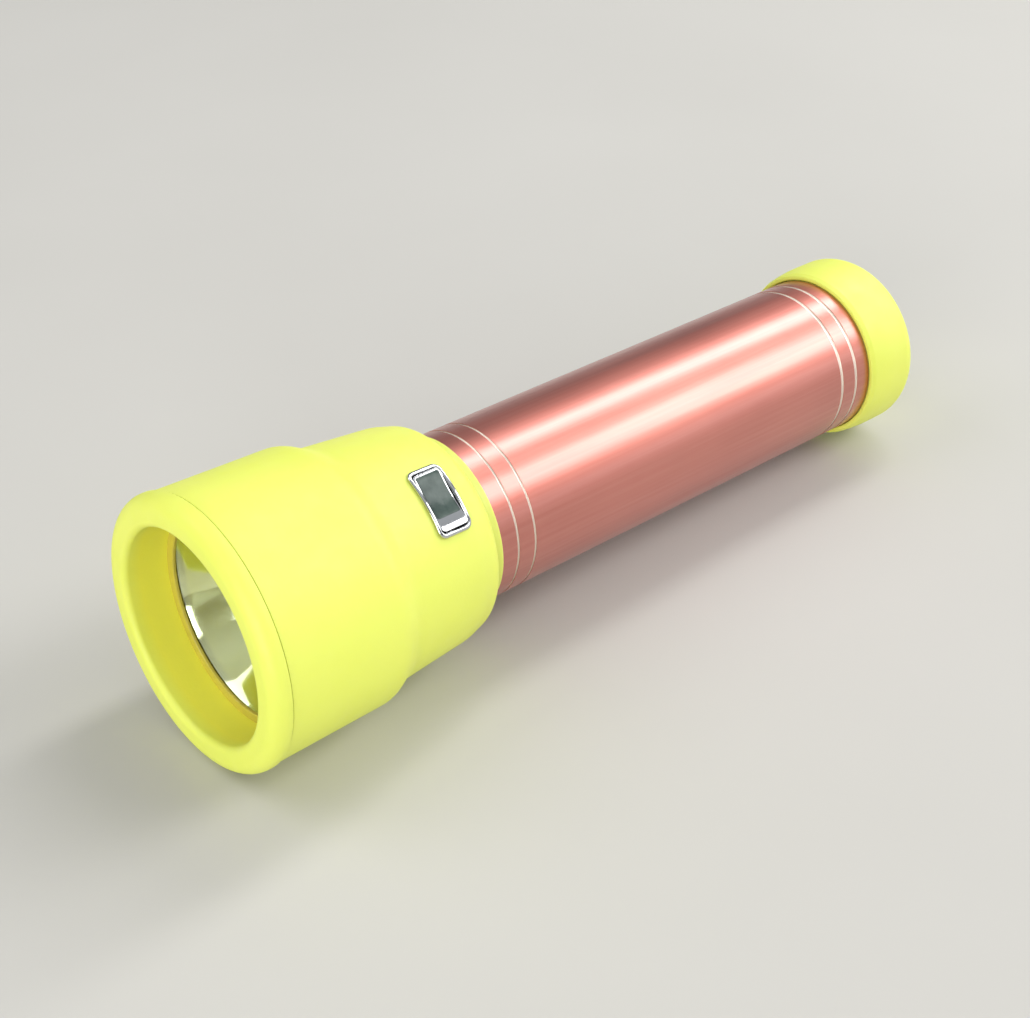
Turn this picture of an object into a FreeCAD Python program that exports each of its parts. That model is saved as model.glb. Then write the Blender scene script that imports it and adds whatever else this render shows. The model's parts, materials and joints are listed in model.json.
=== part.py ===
"""Two-cell firefighter flashlight: yellow plastic head and tail cap on a red aluminium barrel.

Each piece is turned or cut along one straight optical axis, +X from the lamp's front rim to the
tail, in millimetres.  All pieces then share one placement, which lays the flashlight on the
ground on its front rim and its tail cap, with +Z up and the origin under its middle.
"""
import FreeCAD, Part
import math
import os
import Sketcher

V = FreeCAD.Vector

# Driving sizes.  x_... is a station along the axis behind the front rim, r_... a radius.
SIZES = {
    # barrel; a groove is a flat-bottomed ring with short sloping flanks
    "r_barrel": 18.5, "r_barrel_bore": 17.5, "x_barrel_front": 55.6, "x_barrel_rear": 186.4,
    "head_groove_half": 0.38, "tail_groove_half": 0.55, "groove_flank": 0.1, "groove_depth": 0.35,
    "x_head_groove_a": 67.2, "x_head_groove_b": 71.8,
    "x_tail_groove_a": 167.1, "x_tail_groove_b": 171.9,
    # head shell
    "x_head_front": 4.3, "r_head_front": 28.45, "x_step_start": 31.6, "r_step_start": 27.81,
    "x_step_end": 36.0, "r_step_end": 25.5, "step_round": 6.0, "x_neck": 53.6, "r_neck": 23.94,
    "neck_round": 8.0, "x_shoulder": 58.4, "r_shoulder": 22.6, "shoulder_round": 3.6,
    "x_lip": 60.9, "r_lip": 19.15, "x_head_rear": 62.6, "r_lip_rear": 19.0,
    "r_head_bore": 25.0, "x_lens_seat": 14.5, "r_cavity": 24.2, "x_cavity_taper": 29.0,
    "x_cavity_neck": 36.2, "r_cavity_neck": 22.4, "x_cavity_end": 55.2, "r_socket": 18.53,
    # bezel ring
    "r_rim": 28.8, "x_rim_flat": 4.1, "r_recess": 22.4, "r_recess_rear": 22.9, "r_sleeve": 24.75,
    "x_sleeve_end": 10.4, "rim_round": 3.0, "recess_round": 1.3, "bead_round": 0.35,
    # threads; a ridge's root is sunk by the bite into the piece that carries it
    "thread_pitch": 2.5, "thread_base": 0.425, "thread_tip": 0.175, "thread_height": 0.5,
    "thread_gap": 0.25, "thread_bite": 0.2, "x_bezel_thread": 6.3, "bezel_ridge_turns": 1.4,
    "bezel_groove_turns": 3.2, "x_tail_thread": 180.0, "r_cap_thread": 18.23,
    "r_barrel_thread": 18.02, "tail_ridge_turns": 1.6, "tail_groove_turns": 3.4,
    # optics
    "x_gasket": 10.41, "gasket_thickness": 0.7, "r_gasket_inner": 21.0, "gasket_round": 0.25,
    "x_lens": 11.12, "lens_thickness": 2.0, "r_lens": 24.6, "lens_round": 0.3,
    "x_reflector": 13.2, "flange_thickness": 1.2, "r_flange": 24.85, "r_bowl_mouth": 21.9,
    "x_bowl_throat": 35.6, "r_bowl_throat": 4.2, "bowl_wall": 0.9,
    # lamp
    "x_board": 37.2, "board_thickness": 1.6, "r_board": 9.0, "x_sink_rear": 43.5, "r_sink": 11.0,
    "fin_first": 1.6, "fin_pitch": 2.0, "fin_gap": 0.9, "r_fin_root": 8.6,
    "r_emitter": 2.6, "emitter_base": 1.1, "dome_radius": 1.7, "dome_round": 1.6,
    "screw_offset": 7.0, "r_board_hole": 1.15, "r_sink_hole": 1.02, "sink_hole_floor": 1.2,
    "r_screw": 1.0, "r_screw_head": 1.9, "screw_head": 1.0, "screw_end_gap": 1.6,
    "screw_slot": 0.5,
    # lamp carrier
    "x_carrier_front": 39.1, "x_carrier_flange": 41.1, "r_carrier_front": 11.15,
    "r_carrier_flange": 22.3, "r_carrier_tube": 15.0, "r_carrier_bore": 13.2,
    "x_carrier_bead": 54.4, "r_carrier_bead": 18.1, "r_carrier_spigot": 17.48,
    "x_carrier_rear": 56.2, "x_carrier_floor": 54.4, "r_stud_hole": 2.6,
    # front contacts
    "stud_length": 6.0, "r_stud": 2.5, "r_stud_head": 4.4, "stud_head": 0.5,
    "r_front_spring": 3.4, "front_spring_pitch": 0.63, "front_spring_turns": 1.0,
    "contact_wire": 0.5, "r_supply_lead": 0.9,
    # cells
    "x_cells": 58.4, "cell_length": 61.3, "r_cell": 16.7, "nub_height": 1.5, "r_nub": 4.75,
    "nub_round": 0.6, "cell_round": 0.9, "sleeve_wall": 0.3, "r_sleeve_tube": 17.35,
    "sleeve_inset": 1.0,
    # seals
    "x_front_seal": 58.6, "front_seal_wire": 0.55, "x_tail_seal": 177.9, "tail_seal_wire": 0.33,
    "r_tail_seal": 18.3, "seal_room": 0.05,
    # tail cap
    "x_cap_front": 176.2, "r_cap_lip": 19.6, "x_cap_lip": 177.3, "r_cap_flare": 20.05,
    "x_cap_full": 181.2, "r_cap": 20.5, "x_cap_rear": 191.7, "r_cap_bore": 18.68,
    "x_cap_floor": 189.0, "cap_round": 3.7, "flare_round": 36.0, "lip_round": 0.3,
    "r_tail_spring": 9.0, "tail_wire": 0.6, "tail_spring_pitch": 1.8, "tail_spring_turns": 3.0,
    "r_contact_plate": 14.5, "contact_plate": 0.6, "r_insulator": 16.0, "insulator": 0.67,
    # push switch, in a frame turned about the axis; its own +Z points out of the head
    "switch_roll": 38.0, "x_switch": 49.3, "frame_length": 14.8, "frame_width": 8.4,
    "frame_corner": 1.7, "skirt_length": 13.6, "skirt_width": 7.4,
    "opening_length": 12.8, "opening_width": 6.6, "opening_corner": 0.9, "frame_proud": 0.75,
    "frame_seat": 0.03, "outer_round": 0.4, "inner_round": 0.22, "window_gap": 0.1,
    "button_gap": 0.15, "button_corner": 0.8, "z_button_top": 24.5, "z_flange_low": 20.0,
    "z_flange_high": 20.9, "flange_overlap": 0.8, "dish_radius": 30.0, "dish_depth": 0.35,
    "insert_width": 5.7, "insert_length": 9.2, "insert_shift": 1.1, "insert_depth": 0.6,
    "insert_gap": 0.06, "insert_set_back": 0.05,
    "z_housing_low": 16.0, "z_housing_floor": 16.8, "z_housing_top": 20.95,
    "housing_length": 15.4, "housing_width": 9.2, "housing_wall": 0.75,
    "spring_lift": 0.04, "r_contact": 2.0, "contact_disc": 0.44, "r_switch_spring": 1.5,
    "switch_wire": 0.18, "switch_spring_pitch": 0.72, "switch_spring_turns": 3.0,
    "blade_width": 2.6, "blade_length": 3.0, "blade_thickness": 0.4, "blade_offset": 4.6,
    # clearances: faces that hairline, and how far a cutter reaches past the surface that it cuts
    "hairline": 0.01, "over": 1.0,
}
CELL_NAMES = ("battery_front", "battery_rear")

doc = FreeCAD.newDocument("Flashlight")
sheet = doc.addObject("Spreadsheet::Sheet", "Sizes")
for row, (alias, number) in enumerate(SIZES.items(), start=1):
    sheet.set("A%d" % row, alias)
    sheet.set("B%d" % row, str(number))
    sheet.setAlias("B%d" % row, alias)
doc.recompute()

pieces = {}


def amount(formula):
    """The number that a sum such as 'x_lens + lens_thickness' or 'r_cap / 2' stands for."""
    words = formula.split()
    total = word_value(words[0])
    for sign, word in zip(words[1::2], words[2::2]):
        if sign == "+":
            total += word_value(word)
        elif sign == "-":
            total -= word_value(word)
        elif sign == "*":
            total *= word_value(word)
        else:
            total /= word_value(word)
    return total


def word_value(word):
    return float(sheet.get(word)) if word in SIZES else float(word)


def bound(formula):
    """The same sum as an expression on the sheet, worked strictly from left to right."""
    words = formula.split()
    text = cell_name(words[0])
    for sign, word in zip(words[1::2], words[2::2]):
        text = "(%s %s %s)" % (text, sign, cell_name(word))
    return text


def cell_name(word):
    return "Sizes." + word if word in SIZES else word


def new_body(name):
    body = doc.addObject("PartDesign::Body", name)
    body.Label = name
    pieces[name] = body
    return body


def new_sketch(body, name, plane="XY_Plane"):
    sketch = body.newObject("Sketcher::SketchObject", name)
    origin_plane = [f for f in body.Origin.OriginFeatures if f.Role == plane][0]
    sketch.AttachmentSupport = [(origin_plane, "")]
    sketch.MapMode = "FlatFace"
    return sketch


def bind(sketch, kind, position, formula):
    """Fixes a sketch point's distance from the origin and ties it to the sheet."""
    index = sketch.addConstraint(Sketcher.Constraint(kind, -1, 1, *position, amount(formula)))
    if any(word in SIZES for word in formula.split()):
        sketch.setExpression("Constraints[%d]" % index, bound(formula))


def polygon(sketch, corners):
    """A closed outline of straight lines; each corner is a pair of formulas."""
    points = [V(amount(a), amount(b), 0) for a, b in corners]
    count = len(points)
    first = sketch.GeometryCount
    for i in range(count):
        sketch.addGeometry(Part.LineSegment(points[i], points[(i + 1) % count]), False)
    for i in range(count):
        after = first + (i + 1) % count
        sketch.addConstraint(Sketcher.Constraint("Coincident", first + i, 2, after, 1))
    for i, (a, b) in enumerate(corners):
        bind(sketch, "DistanceX", (first + i, 1), a)
        bind(sketch, "DistanceY", (first + i, 1), b)


def circle(sketch, a, b, radius):
    """A circle about the point (a, b); radius is a formula too."""
    centre = V(amount(a), amount(b), 0)
    index = sketch.addGeometry(Part.Circle(centre, V(0, 0, 1), amount(radius)), False)
    bind(sketch, "DistanceX", (index, 3), a)
    bind(sketch, "DistanceY", (index, 3), b)
    size = sketch.addConstraint(Sketcher.Constraint("Radius", index, amount(radius)))
    if any(word in SIZES for word in radius.split()):
        sketch.setExpression("Constraints[%d]" % size, bound(radius))


def rectangle(sketch, width, length, shift="0"):
    """A rectangle about the switch's centre, shifted along Y: width is along X, length along Y."""
    half_x = "%s / 2" % bound(width)
    half_y = "%s / 2" % bound(length)
    signs = ((-1, -1), (1, -1), (1, 1), (-1, 1))
    points = [V(amount("x_switch") + sx * amount(width) / 2, sy * amount(length) / 2 + amount(shift), 0)
              for sx, sy in signs]
    for i in range(4):
        sketch.addGeometry(Part.LineSegment(points[i], points[(i + 1) % 4]), False)
    for i in range(4):
        sketch.addConstraint(Sketcher.Constraint("Coincident", i, 2, (i + 1) % 4, 1))
    for i, (sx, sy) in enumerate(signs):
        across = sketch.addConstraint(
            Sketcher.Constraint("DistanceX", -1, 1, i, 1, points[i].x))
        sketch.setExpression("Constraints[%d]" % across, "Sizes.x_switch + %d * %s" % (sx, half_x))
        along = sketch.addConstraint(
            Sketcher.Constraint("DistanceY", -1, 1, i, 1, points[i].y))
        sketch.setExpression("Constraints[%d]" % along,
                             "%d * %s + %s" % (sy, half_y, bound(shift)))


def revolve(body, sketch, name, kind="PartDesign::Revolution"):
    feature = body.newObject(kind, name)
    feature.Profile = sketch
    feature.ReferenceAxis = (sketch, ["H_Axis"])
    feature.Angle = 360
    doc.recompute()
    return feature


def turned(name, corners):
    """A piece of revolution about the axis, from its half outline of (x, r) corners."""
    body = new_body(name)
    sketch = new_sketch(body, name + "_outline")
    polygon(sketch, corners)
    revolve(body, sketch, name + "_turning")
    return body


def ring_cut(body, name, corners):
    """Turns away a ring whose section is the given outline."""
    sketch = new_sketch(body, name + "_outline")
    polygon(sketch, corners)
    return revolve(body, sketch, name, "PartDesign::Groove")


def rounded(body, rings, radius):
    """Rounds the circular edges that stand at the given (x, r) places."""
    names = []
    for x, r in rings:
        for number, edge in enumerate(body.Tip.Shape.Edges, start=1):
            curve = edge.Curve
            if not isinstance(curve, Part.Circle):
                continue
            if abs(curve.Center.x - amount(x)) < 0.01 and abs(curve.Radius - amount(r)) < 0.01:
                names.append("Edge%d" % number)
    if not names:
        raise RuntimeError("no edge to round on " + body.Label)
    return add_fillet(body, names, radius, "_round")


def add_fillet(body, edges, radius, suffix):
    """Rounds the named edges of the body's last feature to a radius kept in the sheet."""
    base = body.Tip
    fillet = body.newObject("PartDesign::Fillet", body.Name + suffix)
    fillet.Base = (base, edges)
    fillet.setExpression("Radius", bound(radius))
    doc.recompute()
    return fillet


def extruded(body, sketch, name, z_low, z_high, kind="PartDesign::Pad"):
    """Pads or pockets a sketch between two distances from its plane."""
    sketch.AttachmentOffset = FreeCAD.Placement(V(0, 0, amount(z_low)), FreeCAD.Rotation())
    sketch.setExpression("AttachmentOffset.Base.z", bound(z_low))
    feature = body.newObject(kind, name)
    feature.Profile = sketch
    feature.Length = amount(z_high) - amount(z_low)
    feature.setExpression("Length", "%s - %s" % (bound(z_high), bound(z_low)))
    feature.Reversed = kind == "PartDesign::Pocket"
    doc.recompute()
    return feature


def thread(body, name, x_start, r_root, r_tip, turns, gap=None):
    """A right-hand helical ridge, or with a gap the wider groove that it runs in."""
    sketch = new_sketch(body, name + "_section")
    half_base = "thread_base" + (" + " + gap if gap else "")
    half_tip = "thread_tip" + (" + " + gap if gap else "")
    polygon(sketch, [
        (x_start + " - " + half_base.replace("+", "-"), r_root),
        (x_start + " + " + half_base, r_root),
        (x_start + " + " + half_tip, r_tip),
        (x_start + " - " + half_tip.replace("+", "-"), r_tip),
    ])
    kind = "PartDesign::SubtractiveHelix" if gap else "PartDesign::AdditiveHelix"
    return wound(body, name, sketch, "H_Axis", "thread_pitch", turns, kind)


def wound(body, name, sketch, axis, pitch, turns, kind="PartDesign::AdditiveHelix"):
    """Sweeps a section along a right-hand helix about one of its sketch's axes."""
    helix = body.newObject(kind, name)
    helix.Profile = sketch
    helix.ReferenceAxis = (sketch, [axis])
    helix.Mode = "pitch-turns-angle"
    helix.setExpression("Pitch", bound(pitch))
    helix.setExpression("Turns", bound(turns))
    doc.recompute()
    return helix


def coil(name, x_start, r_start, wire, pitch, turns):
    """A wire spring wound about the axis."""
    body = new_body(name)
    sketch = new_sketch(body, name + "_wire")
    circle(sketch, x_start, r_start, wire)
    wound(body, name + "_winding", sketch, "H_Axis", pitch, turns)
    return body


# ---------------------------------------------------------------- head

def make_bezel_ring():
    """Screw-in front rim: a rounded bead with a threaded sleeve that holds the lens."""
    body = turned("bezel_ring", [
        ("0", "r_recess"),
        ("0", "r_rim"),
        ("x_rim_flat", "r_rim"),
        ("x_rim_flat", "r_sleeve"),
        ("x_sleeve_end", "r_sleeve"),
        ("x_sleeve_end", "r_recess_rear"),
    ])
    rounded(body, [("0", "r_rim")], "rim_round")
    rounded(body, [("0", "r_recess")], "recess_round")
    rounded(body, [("x_rim_flat", "r_rim")], "bead_round")
    thread(body, "bezel_thread", "x_bezel_thread", "r_sleeve - thread_bite",
           "r_sleeve + thread_height", "bezel_ridge_turns")


def make_head_shell():
    """Yellow moulded head: wide lamp cup, S-shaped step, switch neck and rounded shoulder."""
    body = turned("head_shell", [
        ("x_head_front", "r_head_bore"),
        ("x_head_front", "r_head_front"),
        ("x_step_start", "r_step_start"),
        ("x_step_end", "r_step_end"),
        ("x_neck", "r_neck"),
        ("x_shoulder", "r_shoulder"),
        ("x_lip", "r_lip"),
        ("x_head_rear", "r_lip_rear"),
        ("x_head_rear", "r_socket"),
        ("x_cavity_end", "r_socket"),
        ("x_cavity_end", "r_cavity_neck"),
        ("x_cavity_neck", "r_cavity_neck"),
        ("x_cavity_taper", "r_cavity"),
        ("x_lens_seat", "r_cavity"),
        ("x_lens_seat", "r_head_bore"),
    ])
    rounded(body, [("x_step_start", "r_step_start"), ("x_step_end", "r_step_end")], "step_round")
    rounded(body, [("x_neck", "r_neck")], "neck_round")
    rounded(body, [("x_shoulder", "r_shoulder")], "shoulder_round")
    seal_groove(body, "front_seal_groove", "x_front_seal", "front_seal_wire",
                "r_barrel - thread_bite", "r_barrel + front_seal_wire + front_seal_wire")
    thread(body, "bezel_thread_groove", "x_bezel_thread - thread_pitch",
           "r_head_bore - thread_bite", "r_head_bore + thread_height + thread_gap",
           "bezel_groove_turns", "thread_gap")
    cut_switch_window(body)


def seal_groove(body, name, x, wire, r_low, r_high):
    """Square groove that leaves the seal's wire a little room along the axis."""
    ring_cut(body, name, [
        ("%s - %s - seal_room" % (x, wire), r_low),
        ("%s - %s - seal_room" % (x, wire), r_high),
        ("%s + %s + seal_room" % (x, wire), r_high),
        ("%s + %s + seal_room" % (x, wire), r_low),
    ])


def cut_switch_window(shell):
    """Window through the shell for the frame's skirt, turned about the axis to the switch."""
    window = new_sketch(shell, "window_outline")
    rectangle(window, "skirt_width + window_gap", "skirt_length + window_gap")
    window.AttachmentOffset = switch_turn()
    opening = shell.newObject("PartDesign::Pocket", "switch_window")
    opening.Profile = window
    opening.setExpression("Length", bound("r_head_front + over"))
    opening.Reversed = True
    doc.recompute()


def switch_turn():
    """The turn about the axis that brings the switch from straight up to its place."""
    return FreeCAD.Placement(V(0, 0, 0), FreeCAD.Rotation(V(1, 0, 0), amount("switch_roll")))


def make_lens_gasket():
    """Flat rubber ring between the bezel's sleeve and the lens."""
    body = turned("lens_gasket", [
        ("x_gasket", "r_gasket_inner"),
        ("x_gasket", "r_lens"),
        ("x_gasket + gasket_thickness", "r_lens"),
        ("x_gasket + gasket_thickness", "r_gasket_inner"),
    ])
    rounded(body, [("x_gasket", "r_gasket_inner")], "gasket_round")


def make_lens():
    """Clear flat disc with rounded edges."""
    body = turned("lens", [
        ("x_lens", "0"),
        ("x_lens", "r_lens"),
        ("x_lens + lens_thickness", "r_lens"),
        ("x_lens + lens_thickness", "0"),
    ])
    rounded(body, [("x_lens", "r_lens"), ("x_lens + lens_thickness", "r_lens")], "lens_round")


REFLECTOR_STEPS = 12


def make_reflector():
    """Metallised bowl: a parabola of short facets between its mouth and its throat."""
    body = new_body("reflector")
    sketch = new_sketch(body, "reflector_outline")
    mouth, throat = amount("r_bowl_mouth"), amount("r_bowl_throat")
    front, rear = amount("x_reflector"), amount("x_bowl_throat")
    wall, flange = amount("bowl_wall"), amount("flange_thickness")
    # x = rear - k (r^2 - throat^2), with k set so that the mouth lies at the front plane
    k = (rear - front) / (mouth ** 2 - throat ** 2)
    inside = []
    for step in range(REFLECTOR_STEPS + 1):
        r = mouth + (throat - mouth) * step / REFLECTOR_STEPS
        inside.append((rear - k * (r ** 2 - throat ** 2), r))
    outside = []
    for x, r in inside[1:]:
        slope = 2 * k * r
        length = math.hypot(1.0, slope)
        outside.append((x + wall / length, r + wall * slope / length))
    outline = inside + outside[::-1]
    outline.append((front + flange, mouth + wall))
    outline.append((front + flange, amount("r_flange")))
    outline.append((front, amount("r_flange")))
    polygon(sketch, [("%.4f" % x, "%.4f" % r) for x, r in outline])
    revolve(body, sketch, "reflector_turning")


def make_lamp():
    """Emitter, its round board, the heat sink behind it and the two board screws."""
    emitter = turned("led_emitter", [
        ("x_board - emitter_base - dome_radius", "0"),
        ("x_board - emitter_base - dome_radius", "dome_radius"),
        ("x_board - emitter_base", "dome_radius"),
        ("x_board - emitter_base", "r_emitter"),
        ("x_board", "r_emitter"),
        ("x_board", "0"),
    ])
    rounded(emitter, [("x_board - emitter_base - dome_radius", "dome_radius")], "dome_round")
    board = turned("led_board", [
        ("x_board", "0"),
        ("x_board", "r_board"),
        ("x_board + board_thickness", "r_board"),
        ("x_board + board_thickness", "0"),
    ])
    drill_pair(board, "board_holes", "r_board_hole", "x_board - over",
               "x_board + board_thickness + over")
    sink = turned("heat_sink", [
        ("x_board + board_thickness", "0"),
        ("x_board + board_thickness", "r_sink"),
        ("x_sink_rear", "r_sink"),
        ("x_sink_rear", "0"),
    ])
    for name, steps in (("fin_gap_front", "fin_first"), ("fin_gap_rear", "fin_first + fin_pitch")):
        x = "x_board + board_thickness + " + steps
        ring_cut(sink, name, [
            (x, "r_fin_root"),
            (x, "r_sink + over"),
            (x + " + fin_gap", "r_sink + over"),
            (x + " + fin_gap", "r_fin_root"),
        ])
    drill_pair(sink, "sink_holes", "r_sink_hole", "x_board", "x_sink_rear - sink_hole_floor")


def drill_pair(body, name, radius, x_low, x_high):
    """Two holes along the axis, one on each side of it."""
    sketch = new_sketch(body, name + "_circles", "YZ_Plane")
    circle(sketch, "screw_offset", "0", radius)
    circle(sketch, "0 - screw_offset", "0", radius)
    extruded(body, sketch, name, x_low, x_high, "PartDesign::Pocket")


def make_board_screws():
    """The two screws that clamp the board to the heat sink, as one group of two solids."""
    screws = []
    along = V(1, 0, 0)
    front = amount("x_board - screw_head")
    length = amount("x_sink_rear - screw_end_gap") - front
    slot, head = amount("screw_slot"), amount("r_screw_head")
    for side in (1, -1):
        start = V(front, side * amount("screw_offset"), 0)
        cap = Part.makeCylinder(head, amount("screw_head"), start, along)
        shaft = Part.makeCylinder(amount("r_screw"), length, start, along)
        cutter = Part.makeBox(slot, 2 * head, slot, start - V(0, head, slot / 2))
        screws.append(cap.fuse(shaft).removeSplitter().cut(cutter))
    group = doc.addObject("Part::Feature", "board_screws")
    group.Label = "board_screws"
    group.Shape = Part.makeCompound(screws)
    pieces["board_screws"] = group


def make_lamp_carrier():
    """Black moulding that centres the lamp in the head and closes the front of the barrel."""
    turned("lamp_carrier", [
        ("x_carrier_front", "r_carrier_front"),
        ("x_carrier_front", "r_carrier_flange"),
        ("x_carrier_flange", "r_carrier_flange"),
        ("x_carrier_flange", "r_carrier_tube"),
        ("x_carrier_bead", "r_carrier_tube"),
        ("x_carrier_bead", "r_carrier_bead"),
        ("x_barrel_front - hairline", "r_carrier_bead"),
        ("x_barrel_front - hairline", "r_carrier_spigot"),
        ("x_carrier_rear", "r_carrier_spigot"),
        ("x_carrier_rear", "r_stud_hole"),
        ("x_carrier_floor", "r_stud_hole"),
        ("x_carrier_floor", "r_carrier_bore"),
        ("x_sink_rear + hairline", "r_carrier_bore"),
        ("x_sink_rear + hairline", "r_carrier_front"),
    ])


def make_front_contacts():
    """Brass stud through the carrier with its spring, and the rod that feeds the lamp."""
    turned("positive_stud", [
        ("x_carrier_rear - stud_length", "0"),
        ("x_carrier_rear - stud_length", "r_stud"),
        ("x_carrier_rear", "r_stud"),
        ("x_carrier_rear", "r_stud_head"),
        ("x_carrier_rear + stud_head", "r_stud_head"),
        ("x_carrier_rear + stud_head", "0"),
    ])
    coil("positive_spring", "x_carrier_rear + stud_head + contact_wire + hairline + hairline",
         "r_front_spring", "contact_wire", "front_spring_pitch", "front_spring_turns")
    turned("supply_lead", [
        ("x_sink_rear + hairline", "0"),
        ("x_sink_rear + hairline", "r_supply_lead"),
        ("x_carrier_rear - stud_length - hairline", "r_supply_lead"),
        ("x_carrier_rear - stud_length - hairline", "0"),
    ])


# ---------------------------------------------------------------- barrel and cells

def make_barrel():
    """Drawn aluminium tube with two pairs of turned grooves and a rolled thread at the rear."""
    body = turned("barrel", [
        ("x_barrel_front", "r_barrel_bore"),
        ("x_barrel_front", "r_barrel"),
        ("x_barrel_rear", "r_barrel"),
        ("x_barrel_rear", "r_barrel_bore"),
    ])
    for place in ("head_groove_a", "head_groove_b", "tail_groove_a", "tail_groove_b"):
        x = "x_" + place
        half = place[:-1] + "half"
        ring_cut(body, place, [
            ("%s - %s" % (x, half), "r_barrel + over"),
            ("%s - %s + groove_flank" % (x, half), "r_barrel - groove_depth"),
            ("%s + %s - groove_flank" % (x, half), "r_barrel - groove_depth"),
            ("%s + %s" % (x, half), "r_barrel + over"),
        ])
    seal_groove(body, "tail_seal_groove", "x_tail_seal", "tail_seal_wire",
                "r_tail_seal - tail_seal_wire - hairline", "r_barrel + over")
    thread(body, "tail_thread_groove", "x_tail_thread", "r_barrel + thread_bite",
           "r_barrel_thread", "tail_groove_turns", "thread_gap")


def make_seal(name, x, middle, wire):
    """A rubber ring of round wire in its groove."""
    body = new_body(name)
    sketch = new_sketch(body, name + "_wire")
    circle(sketch, x, middle, wire + " - hairline - hairline")
    revolve(body, sketch, name + "_turning")


def make_cells():
    """Two D cells in line, positive ends forward, in an insulating sleeve."""
    start = "x_cells"
    for name in CELL_NAMES:
        end = start + " + cell_length - hairline - hairline"
        body = turned(name, [
            (start, "0"),
            (start, "r_nub"),
            (start + " + nub_height", "r_nub"),
            (start + " + nub_height", "r_cell"),
            (end, "r_cell"),
            (end, "0"),
        ])
        rounded(body, [(start, "r_nub")], "nub_round")
        rounded(body, [(start + " + nub_height", "r_cell"), (end, "r_cell")], "cell_round")
        start += " + cell_length"
    turned("cell_sleeve", [
        ("x_cells + sleeve_inset", "r_sleeve_tube - sleeve_wall"),
        ("x_cells + sleeve_inset", "r_sleeve_tube"),
        ("x_barrel_rear - sleeve_inset", "r_sleeve_tube"),
        ("x_barrel_rear - sleeve_inset", "r_sleeve_tube - sleeve_wall"),
    ])


# ---------------------------------------------------------------- tail cap

def make_tail_cap():
    """Yellow screw cap, smooth outside, with a helical ridge inside its skirt."""
    body = turned("tail_cap", [
        ("x_cap_front", "r_cap_bore"),
        ("x_cap_front", "r_cap_lip"),
        ("x_cap_lip", "r_cap_flare"),
        ("x_cap_full", "r_cap"),
        ("x_cap_rear", "r_cap"),
        ("x_cap_rear", "0"),
        ("x_cap_floor", "0"),
        ("x_cap_floor", "r_cap_bore"),
    ])
    rounded(body, [("x_cap_rear", "r_cap")], "cap_round")
    rounded(body, [("x_cap_full", "r_cap")], "flare_round")
    rounded(body, [("x_cap_front", "r_cap_lip"), ("x_cap_front", "r_cap_bore")], "lip_round")
    thread(body, "tail_thread", "x_tail_thread", "r_cap_bore + thread_bite", "r_cap_thread",
           "tail_ridge_turns")


def make_tail_contacts():
    """Spring, contact disc and insulator carried in the tail cap."""
    coil("tail_spring", "x_cells + cell_length + cell_length + tail_wire + hairline + hairline",
         "r_tail_spring", "tail_wire", "tail_spring_pitch", "tail_spring_turns")
    insulator_front = "x_cap_floor - hairline - hairline - insulator"
    turned("tail_contact_plate", [
        (insulator_front + " - hairline - contact_plate", "0"),
        (insulator_front + " - hairline - contact_plate", "r_contact_plate"),
        (insulator_front + " - hairline", "r_contact_plate"),
        (insulator_front + " - hairline", "0"),
    ])
    turned("tail_insulator", [
        (insulator_front, "0"),
        (insulator_front, "r_insulator"),
        ("x_cap_floor - hairline - hairline", "r_insulator"),
        ("x_cap_floor - hairline - hairline", "0"),
    ])


# ---------------------------------------------------------------- switch

def make_switch_frame():
    """Chrome frame curved to the head: a raised flange with a skirt through the shell."""
    body = new_body("switch_frame")
    sketch = new_sketch(body, "frame_outline")
    rectangle(sketch, "frame_width", "frame_length")
    extruded(body, sketch, "frame_block", "z_flange_high", "r_head_front")
    round_uprights(body, "frame_corner")
    skin = head_line()
    cone_cut(body, "frame_inside", skin, amount("frame_seat"), 0.0)
    skirt = new_sketch(body, "skirt_outline")
    rectangle(skirt, "skirt_width", "skirt_length")
    extruded(body, skirt, "frame_skirt", "z_housing_top + button_gap", "r_head_front")
    cone_cut(body, "frame_outside", skin, amount("frame_proud"), amount("r_head_front"))
    opening = new_sketch(body, "opening_outline")
    rectangle(opening, "opening_width", "opening_length")
    extruded(body, opening, "frame_opening", "z_housing_low", "r_head_front + over",
             "PartDesign::Pocket")
    round_uprights(body, "opening_corner", amount("opening_length / 2") + amount("hairline"))
    round_top_rim(body, "outer", "outer_round")
    round_top_rim(body, "inner", "inner_round")


def head_line():
    """Two (x, r) points on the head's tapered surface, one on each side of the switch."""
    slope = amount("r_step_end - r_neck") / amount("x_neck - x_step_end")
    ends = []
    for x in (amount("x_switch - frame_length"), amount("x_switch + frame_length")):
        ends.append((x, amount("r_step_end") - slope * (x - amount("x_step_end"))))
    return ends


def cone_cut(body, name, line, offset, limit):
    """Turns away the ring between the line shifted outwards by offset and a limiting radius.

    A limit of zero clears all that lies inside the line; a positive one is reached past it."""
    (x_low, r_low), (x_high, r_high) = line
    far = limit + r_low if limit else 0.0
    ring_cut(body, name, [
        ("%.4f" % x_low, "%.4f" % (r_low + offset)),
        ("%.4f" % x_low, "%.4f" % far),
        ("%.4f" % x_high, "%.4f" % far),
        ("%.4f" % x_high, "%.4f" % (r_high + offset)),
    ])


def round_uprights(body, radius, within=math.inf):
    """Rounds the straight edges along +Z that stand less than `within` from the centre in Y."""
    names = []
    for number, edge in enumerate(body.Tip.Shape.Edges, start=1):
        if not isinstance(edge.Curve, Part.Line):
            continue
        upright = abs(abs(edge.Curve.Direction.z) - 1) < 0.001
        if upright and abs(edge.CenterOfMass.y) < within:
            names.append("Edge%d" % number)
    add_fillet(body, names, radius, "_corners")


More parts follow.
